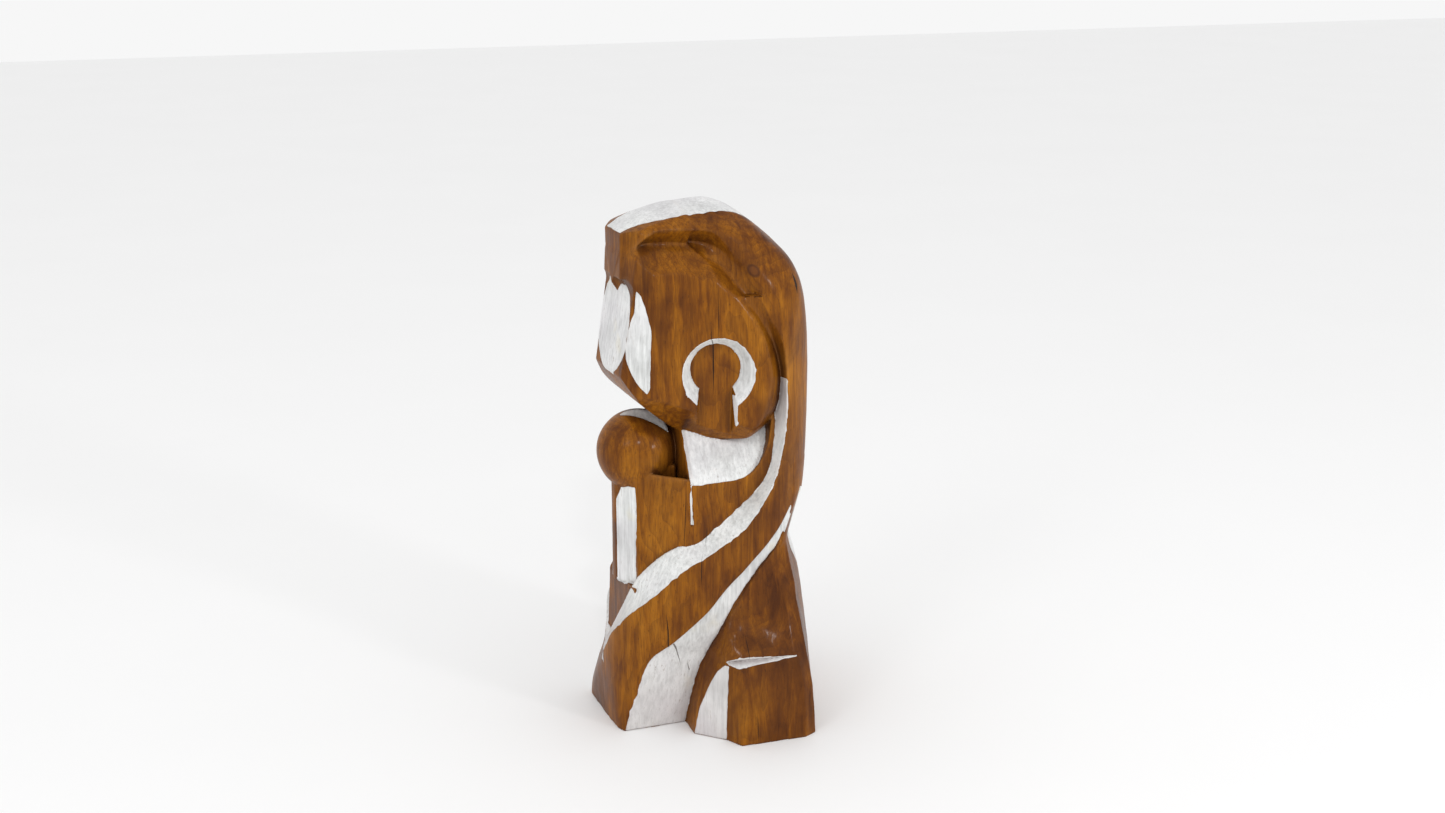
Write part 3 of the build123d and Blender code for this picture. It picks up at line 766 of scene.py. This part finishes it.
def varnished_wood():
    n = Nodes("varnished_wood")
    place = n.add("ShaderNodeTexCoord").outputs["Object"]
    warp = n.noise(n.scaled(place, (14, 14, 5)), 1.0, 3.0)
    warp_small = n.noise(n.scaled(place, (60, 60, 16)), 1.0, 2.0)
    # growth rings round an upright pith, pushed aside by the knot
    xyz = n.add("ShaderNodeSeparateXYZ", {0: place})
    dx = n.minus(xyz.outputs[0], PITH[0])
    dy = n.minus(xyz.outputs[1], PITH[1])
    radius = n.math("SQRT", n.plus(n.times(dx, dx), n.times(dy, dy)))
    to_knot = n.add("ShaderNodeVectorMath", {0: place, 1: KNOT}, operation="DISTANCE").outputs["Value"]
    push = n.fit(to_knot, 0.0, KNOT_REACH, 0.016, 0.0)
    rings = n.plus(radius, n.times(n.minus(warp, 0.5), 0.044))
    rings = n.plus(rings, n.times(n.minus(warp_small, 0.5), 0.0025))
    rings = n.plus(rings, n.times(push, n.times(push, 60.0)))
    phase = n.math("FRACT", n.times(rings, 260.0))
    ring = n.math("POWER", phase, 2.2)
    fibre = n.noise(n.scaled(place, (1100, 1100, 38)), 1.0, 3.0, 0.6)
    streak = n.noise(n.scaled(place, (150, 150, 17)), 1.0, 5.0, 0.62, 0.7)
    blotch = n.noise(place, 26.0, 3.0, 0.55)
    cloud = n.noise(n.scaled(place, (1, 1, 0.6), (0.3, 0.1, 0.2)), 11.0, 2.0)
    speck = n.noise(n.scaled(place, (900, 900, 260)), 1.0, 2.0)

    tone = n.plus(n.times(streak, 0.55), n.times(blotch, 0.45))
    tone = n.plus(tone, n.times(n.minus(cloud, 0.5), 0.5))
    # broad dark stains where the varnish has soaked in
    stain = n.noise(n.scaled(place, (1, 1, 0.8), (0.7, 0.2, 0.5)), 17.0, 4.0, 0.6, 0.6)
    base = n.ramp(tone, [(0.32, (0.060, 0.016, 0.0030)), (0.44, (0.150, 0.045, 0.0040)),
                         (0.55, (0.262, 0.088, 0.0045)), (0.70, (0.390, 0.145, 0.009))])
    base = n.mix(n.fit(stain, 0.50, 0.68, 0.0, 0.55), base, (0.085, 0.026, 0.0045, 1))
    base = n.mix(n.times(ring, 0.34), base, (0.075, 0.022, 0.004, 1))
    base = n.mix(n.fit(fibre, 0.42, 0.70, 0.0, 0.50), base, (0.085, 0.026, 0.005, 1))
    base = n.mix(n.fit(speck, 0.63, 0.72, 0.0, 0.45), base, (0.03, 0.010, 0.004, 1))
    # the knot: a dark heart in a ring of bark
    knot_shape = n.plus(to_knot, n.times(n.minus(warp_small, 0.5), 0.003))
    knot = n.fit(knot_shape, 0.0062, 0.0078, 1.0, 0.0)
    knot_rim = n.times(knot, n.fit(knot_shape, 0.0056, 0.0068, 0.0, 1.0))
    base = n.mix(n.times(knot, 0.75), base, (0.11, 0.036, 0.012, 1))
    base = n.mix(n.times(knot_rim, 0.8), base, (0.035, 0.011, 0.005, 1))
    # painted shade in the hollows and inner corners, darker the deeper in; lighter rubbed edges
    crease_shade = n.fit(n.attribute("crease_shade"), 0.08, 0.75, 0.0, 0.88)
    base = n.mix(crease_shade, base, (0.042, 0.012, 0.004, 1))
    rubbed = n.times(n.attribute("edge"), n.fit(blotch, 0.42, 0.62, 0.0, 0.35))
    base = n.mix(rubbed, base, (0.42, 0.19, 0.05, 1))
    crack = crack_lines(n, place, n.times(n.minus(warp_small, 0.5), 0.006))
    base = n.mix(n.times(crack, 0.95), base, (0.015, 0.007, 0.004, 1))

    height = n.plus(n.times(fibre, -0.5), n.times(streak, -0.4))
    height = n.plus(height, n.times(ring, -0.15))
    height = n.minus(height, n.times(crack, 4.0))
    bump = n.add("ShaderNodeBump", {"Height": height, "Strength": 0.35, "Distance": 0.0006})
    rough = n.plus(n.fit(blotch, 0.3, 0.7, 0.26, 0.44), n.times(fibre, 0.12))
    coat_bump = n.add("ShaderNodeBump", {"Height": n.noise(n.scaled(place, (240, 240, 60)), 1.0, 2.0),
                                         "Strength": 0.25, "Distance": 0.0006})
    n.feed(Base_Color=base, Roughness=rough, Normal=bump.outputs[0], Coat_Weight=0.16, Coat_Roughness=0.16,
           Coat_Normal=coat_bump.outputs[0], IOR=1.45, Specular_IOR_Level=0.06)
    return n.material


def white_paint():
    n = Nodes("white_paint")
    place = n.add("ShaderNodeTexCoord").outputs["Object"]
    brush = n.noise(n.scaled(place, (420, 420, 26)), 1.0, 4.0, 0.6, 0.3)
    bristle = n.noise(n.scaled(place, (1500, 1500, 70)), 1.0, 2.0, 0.6)
    patch = n.noise(place, 34.0, 4.0, 0.6)
    stain = n.noise(n.scaled(place, (1, 1, 1), (0.5, 0.2, 0.7)), 24.0, 3.0, 0.6)
    cloud = n.noise(n.scaled(place, (1, 1, 1), (0.1, 0.9, 0.4)), 13.0, 2.0)
    worn = n.noise(n.scaled(place, (700, 700, 120)), 1.0, 3.0, 0.6)
    base = n.ramp(n.plus(n.times(brush, 0.5), n.times(patch, 0.5)),
                  [(0.30, (0.42, 0.42, 0.41)), (0.45, (0.62, 0.63, 0.62)), (0.58, (0.80, 0.81, 0.80))])
    base = n.mix(n.fit(cloud, 0.45, 0.70, 0.0, 0.35), base, (0.60, 0.55, 0.60, 1))
    base = n.mix(n.fit(stain, 0.60, 0.74, 0.0, 0.45), base, (0.68, 0.60, 0.36, 1))
    base = n.mix(n.fit(bristle, 0.60, 0.78, 0.0, 0.55), base, (0.34, 0.31, 0.30, 1))
    # grain of the wood where the paint is thin, more of it at the edges
    thin = n.times(n.fit(worn, 0.60, 0.74, 0.0, 1.0), n.fit(patch, 0.42, 0.62, 0.0, 0.8))
    base = n.mix(thin, base, (0.22, 0.14, 0.09, 1))
    # darker and greyer towards the foot
    height_up = n.add("ShaderNodeSeparateXYZ", {0: place}).outputs[2]
    base = n.mix(n.fit(height_up, 0.01, 0.12, 0.42, 0.0), base, (0.46, 0.40, 0.39, 1))
    rim = n.times(n.attribute("edge"), n.fit(brush, 0.40, 0.65, 0.0, 0.5))
    base = n.mix(rim, base, (0.30, 0.18, 0.09, 1))
    # painted shade on the paint in the hollows and inner corners
    crease_shade = n.fit(n.attribute("crease_shade"), 0.25, 0.95, 0.0, 0.55)
    base = n.mix(crease_shade, base, (0.28, 0.22, 0.21, 1))
    drift = n.noise(n.scaled(place, (60, 60, 16)), 1.0, 2.0)
    wander = n.times(n.minus(drift, 0.5), 0.006)
    crack = crack_lines(n, place, wander)
    base = n.mix(n.times(crack, 0.8), base, (0.05, 0.03, 0.02, 1))
    height = n.plus(n.times(brush, 0.6), n.times(bristle, 0.35))
    height = n.minus(height, n.times(crack, 3.0))
    bump = n.add("ShaderNodeBump", {"Height": height, "Strength": 0.45, "Distance": 0.0005})
    rough = n.fit(patch, 0.3, 0.7, 0.42, 0.62)
    n.feed(Base_Color=base, Roughness=rough, Normal=bump.outputs[0], IOR=1.45)
    return n.material


wood_material = varnished_wood()
paint_material = white_paint()

# --- The carved block ---

def sampled_surface():
    """The carving's surface on the grid, as vertices and triangles."""
    low = np.array([-96.0, -88.0, -3.0])
    size = np.array([192.0, 176.0, 408.0])
    shape = (size / SAMPLE).astype(int) + 1
    axes = [(low[i] + SAMPLE * np.arange(shape[i])).astype(np.float32) for i in range(3)]
    grid_x, grid_y, grid_z = axes[0][:, None, None], axes[1][None, :, None], axes[2][None, None, :]
    field = np.empty(tuple(shape), np.float32)
    for start in range(0, shape[2], SLAB):
        level = grid_z[:, :, start:start + SLAB]
        field[:, :, start:start + SLAB] = carve(parts_of(grid_x, grid_y, level), level)
    vertices, quads = surface_net(field, low, SAMPLE)
    return vertices, triangles_of(quads)


def settled(vertices):
    """The vertices moved on to the true surface."""
    for _ in range(2):
        gap = distance(vertices)
        grad = slope(vertices)
        move = -gap[:, None] * grad / np.maximum((grad ** 2).sum(1), 0.3)[:, None]
        size = np.linalg.norm(move, axis=1)
        vertices = vertices + move * np.minimum(1.0, 0.7 / np.maximum(size, 1e-9))[:, None]
    return vertices


def uneven(vertices, strength, spacing, shift=0.0):
    """Smooth noise at every vertex, stretched along each axis by the spacing."""
    sx, sy, sz = spacing
    return np.array([strength * noise.noise(Vector((px / sx + shift, py / sy, pz / sz)))
                     for px, py, pz in vertices.tolist()])


def tooled(vertices, triangles):
    """The vertices with tool marks and the soft unevenness of handwork, on a flat base."""
    marks = uneven(vertices, 0.22, (13.0, 13.0, 21.0)) + uneven(vertices, 0.07, (4.0, 4.0, 9.0), 7.0)
    vertices = vertices + vertex_normals(vertices, triangles) * marks[:, None]
    vertices[:, 2] = np.where(vertices[:, 2] < 0.5, 0.0, vertices[:, 2])
    return vertices


def place_piece(obj, node):
    """Hand a finished piece to the frame, in place of its CAD node."""
    mark_relief(obj)
    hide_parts(node)
    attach(obj, "root")


def thinned(obj, triangles):
    """Give an object a lighter copy of its mesh."""
    reduce = obj.modifiers.new("reduce", "DECIMATE")
    reduce.ratio = min(1.0, MOST_TRIANGLES / len(triangles))
    bpy.context.view_layer.update()
    evaluated = obj.evaluated_get(bpy.context.evaluated_depsgraph_get())
    lighter = bpy.data.meshes.new_from_object(evaluated)
    obj.modifiers.clear()
    obj.data = lighter


net_vertices, net_triangles = sampled_surface()
net_vertices = settled(net_vertices)
net_triangles = largest_patches(len(net_vertices), net_triangles, LEAST_WOOD)
net_vertices = tooled(net_vertices, net_triangles)

wood = new_object("log_carving", net_vertices, [tuple(t) for t in net_triangles.tolist()], wood_material)
thinned(wood, net_triangles)
place_piece(wood, "carved_block")

# --- Coats of paint ---
# A coat covers the part of the surface where a region's value is below zero.

vx, vy, vz = net_vertices.T
va = np.abs(vx)
f = parts_of(vx, vy, vz)
ragged = uneven(net_vertices, 0.35, (5.0, 5.0, 5.0))


def on(name, within=1.0):
    """Below zero on the face that a field bounds."""
    return np.abs(f[name]) - within


def inside(outline, u, v):
    """Below zero inside a closed outline."""
    return Outline(outline)(u, v)


def most(*regions):
    """The overlap of all the regions."""
    return functools.reduce(np.maximum, regions)


def lay_coat(node, region):
    """Paint the part of the surface where the region's value is below zero."""
    points, faces = clipped(net_vertices, net_triangles, region + ragged)
    points, faces = compact(points, largest_patches(len(points), faces, LEAST_PAINT))
    shell, shell_faces = coat_shell(points, faces, vertex_normals(points, faces), PAINT_ABOVE, PAINT_BELOW)
    coat = new_object(node.replace("_paint", "_coat"), shell, shell_faces, paint_material)
    place_piece(coat, node)


def lay_pair(name, region):
    """The same coat on the left and on the right, parted at the middle plane."""
    lay_coat("left_" + name, np.maximum(region, 0.4 - vx))
    lay_coat("right_" + name, np.maximum(region, 0.4 + vx))


def symmetric(half_outline):
    """A closed outline from the points of its +X half."""
    return half_outline + [(-u, v) for u, v in reversed(half_outline) if u != 0]


CROWN_LEAF = curve([(15.5, -69), (16, -66), (21, -54), (25, -44), (29, -30), (30, -12), (29, 7), (24, 26),
                    (14, 42), (0, 52)])
crown_scallops = 0.5 * np.abs(np.sin(vy / 3.1))
lay_coat("crown_paint", most(inside(symmetric([(0, -72)] + CROWN_LEAF), vx, vy) + crown_scallops,
                             372.0 - vz, on("outer", 1.8), -67.4 - vy))

FACE = [(0, 37), (13, 36), (20, 32), (27, 25), (31, 14), (33, 2), (32, -12), (28, -21), (20, -29), (9, -36),
        (0, -38)]
face_v = (vz - FACE_MIDDLE) / 0.987
before_cheek = f["cheek"] - f["face"] + 0.15
lay_coat("face_paint", most(inside(symmetric(FACE), vx, face_v), on("face", 1.6), before_cheek, vy + 50.0))

CHEEK = [(6, 31), (10, 27), (14, 18), (17, 9), (20, 0), (22, -12), (22.5, -22), (21, -33), (17, -43),
         (12, -39), (7, -34), (2, -26), (-1, -18), (-1.5, -12), (0, -1), (3, 11), (5, 15)]
cheek_u = (va - CHEEK_EDGE) * 0.7071 + (vy - FOREHEAD) * 0.7071
cheek_v = vz - FACE_MIDDLE
cheek_rims = most(f["face"] - f["cheek"] + 0.15, f["temple"] - f["cheek"] + 0.1)
lay_pair("cheek_paint", most(inside(CHEEK, cheek_u, cheek_v), on("cheek", 1.6), cheek_rims))

on_head = np.abs(np.maximum(np.maximum(f["head"], -f["ear"]), -f["stem"])) - 0.9
ring = most(on("ear_wall", 0.9), f["ear_floor"] + 0.3, 0.4 - f["stem"])
# the rear wall of the stem is painted too, in a sliver that runs out at the jaw
stem_sliver = most(on("stem", 0.9), f["ear_floor"] + 0.3, -vy, 236.0 - vz, vz - 262.0,
                   -f["temple"] - 2.0 - 0.3 * (vz - 236.0))
lay_pair("ear_paint", most(np.minimum(ring, stem_sliver), on_head, f["temple"] + 0.3))

collar = most(on("collar"), on("torso"), f["collar_field"], vz - 245.0, 0.5 - f["head"], -28.0 - vy)
kerf_line = most(f["kerf"] - 0.15, KERF_FOOT + 1.0 - vz, vz - COLLAR_FOOT - 0.5)
lay_pair("collar_paint", np.minimum(collar, kerf_line))

clear_of_others = most(0.4 - f["head"], 0.3 - f["torso"], 0.3 - f["lap"], 0.3 - f["child"])
lay_pair("sash_paint", most(on("bevel", 0.9), clear_of_others, vz - 272.0, f["outer"] + 0.25))

channel = np.minimum(on("floor", 0.9), on("hem", 0.9))
lay_pair("channel_paint", most(channel, 0.35 - f["skirt"], below_hem(vy, vz) + 0.2, f["outer"] + 0.25,
                               vz - 183.0, 0.6 - vz, vy - 52.0))

PANEL = [(2, -35), (2, 27), (8, 39), (23, 41), (24.6, 0), (25.6, -35)]
child_u = (va - CHILD_CORNER[0]) * 0.910 + (vy - CHILD_CORNER[1]) * 0.414
child_v = vz - CHILD_CORNER[2]
panel = most(inside(PANEL, child_u, child_v), on("child_side", 0.9))
chamfer = most(on("child_under", 1.2), 1.0 - child_u, vz - 120.5, 110.0 - vz, on("child", 1.2))
lay_pair("child_panel_paint", most(np.minimum(panel, chamfer), 0.5 - f["ball"]))

lay_coat("child_crown_paint", most(on("crescent", 0.8), on("ball", 0.8), 0.2 - f["notch_line"],
                                   0.5 - f["head"]))

shin_from = np.interp(vz, SKIRT_HEIGHTS, [section[1][0] for _, section in SKIRT])
shin_to = np.interp(vz, SKIRT_HEIGHTS, [section[2][0] for _, section in SKIRT])
lay_pair("shin_paint", most(on("skirt"), shin_from - va, va - shin_to, vz - 60.0, 0.6 - vz, vy + 5.0))

lay_pair("groove_paint", most(on("groove", 0.9), f["skirt"] + 0.3, 40.0 - vz, vz - 90.0))

hem = np.minimum(on("undercut", 0.9), on("hem", 0.9))
lay_coat("hem_paint", most(hem, vz - 188.0, 150.0 - vz, va - 46.0, 40.0 - vy, f["outer"] + 0.25,
                           0.4 - f["skirt"]))

BACK_PANEL = [(0, 149), (42, 149), (43, 134), (36, 120), (24, 108), (12, 100), (0, 97)]
lay_coat("back_panel_paint", most(inside(symmetric(BACK_PANEL), vx, vz), on("skirt", 0.9), 46.5 - vy))

# --- Camera, light and floor ---

LENS = 46.37
CAMERA_PLACE = (1.2686, -0.4657, 0.620)   # metres, from the middle of the foot
CAMERA_TURN = 20.823      # degrees: how far the camera looks towards +Y
CAMERA_TILT = 15.693      # and how far it looks down
FLOOR_REACH = 6.0

centre = Vector(((cad_box[0][0] + cad_box[1][0]) / 2, (cad_box[0][1] + cad_box[1][1]) / 2, 0.0))
camera_data = bpy.data.cameras.new("camera")
camera_data.sensor_width = 36.0
camera_data.lens = LENS
camera_data.clip_start = 0.05
camera = bpy.data.objects.new("camera", camera_data)
bpy.context.scene.collection.objects.link(camera)
bpy.context.scene.camera = camera
camera.location = centre + Vector(CAMERA_PLACE)
turn, tilt = math.radians(CAMERA_TURN), math.radians(CAMERA_TILT)
aim = Vector((-math.cos(turn) * math.cos(tilt), math.sin(turn) * math.cos(tilt), -math.sin(tilt)))
camera.rotation_euler = aim.to_track_quat("-Z", "Y").to_euler()


def studio_floor():
    n = Nodes("studio_floor")
    place = n.add("ShaderNodeTexCoord").outputs["Object"]
    tone = n.mix(n.noise(place, 4.0, 2.0), (0.90, 0.90, 0.90, 1), (0.92, 0.92, 0.92, 1))
    n.feed(Base_Color=tone, Roughness=0.9)
    return n.material


floor_mesh = bpy.data.meshes.new("floor")
floor_corners = [(u * FLOOR_REACH, v * FLOOR_REACH, 0) for u, v in ((-1, -1), (1, -1), (1, 1), (-1, 1))]
floor_mesh.from_pydata(floor_corners, [], [(0, 1, 2, 3)])
floor_mesh.materials.append(studio_floor())
floor = bpy.data.objects.new("floor", floor_mesh)
bpy.context.scene.collection.objects.link(floor)

world = bpy.data.worlds.new("studio")
bpy.context.scene.world = world
world.use_nodes = True
surround = world.node_tree.nodes["Background"]
surround.inputs["Color"].default_value = (1.0, 1.0, 1.0, 1)
surround.inputs["Strength"].default_value = 0.93


def softbox(name, place, power, size, target=(0, 0, 0.2)):
    data = bpy.data.lights.new(name, "AREA")
    data.energy = power
    data.size = size
    light = bpy.data.objects.new(name, data)
    light.location = place
    light.rotation_euler = (Vector(target) - Vector(place)).to_track_quat("-Z", "Y").to_euler()
    bpy.context.scene.collection.objects.link(light)


softbox("key", (1.6, -2.2, 1.9), 8.0, 0.8)
softbox("lamp", (2.2, -0.6, 1.9), 8.0, 0.16)
softbox("rim", (1.7, 0.95, 0.85), 6.0, 0.2)
bpy.context.scene.view_settings.view_transform = "Standard"
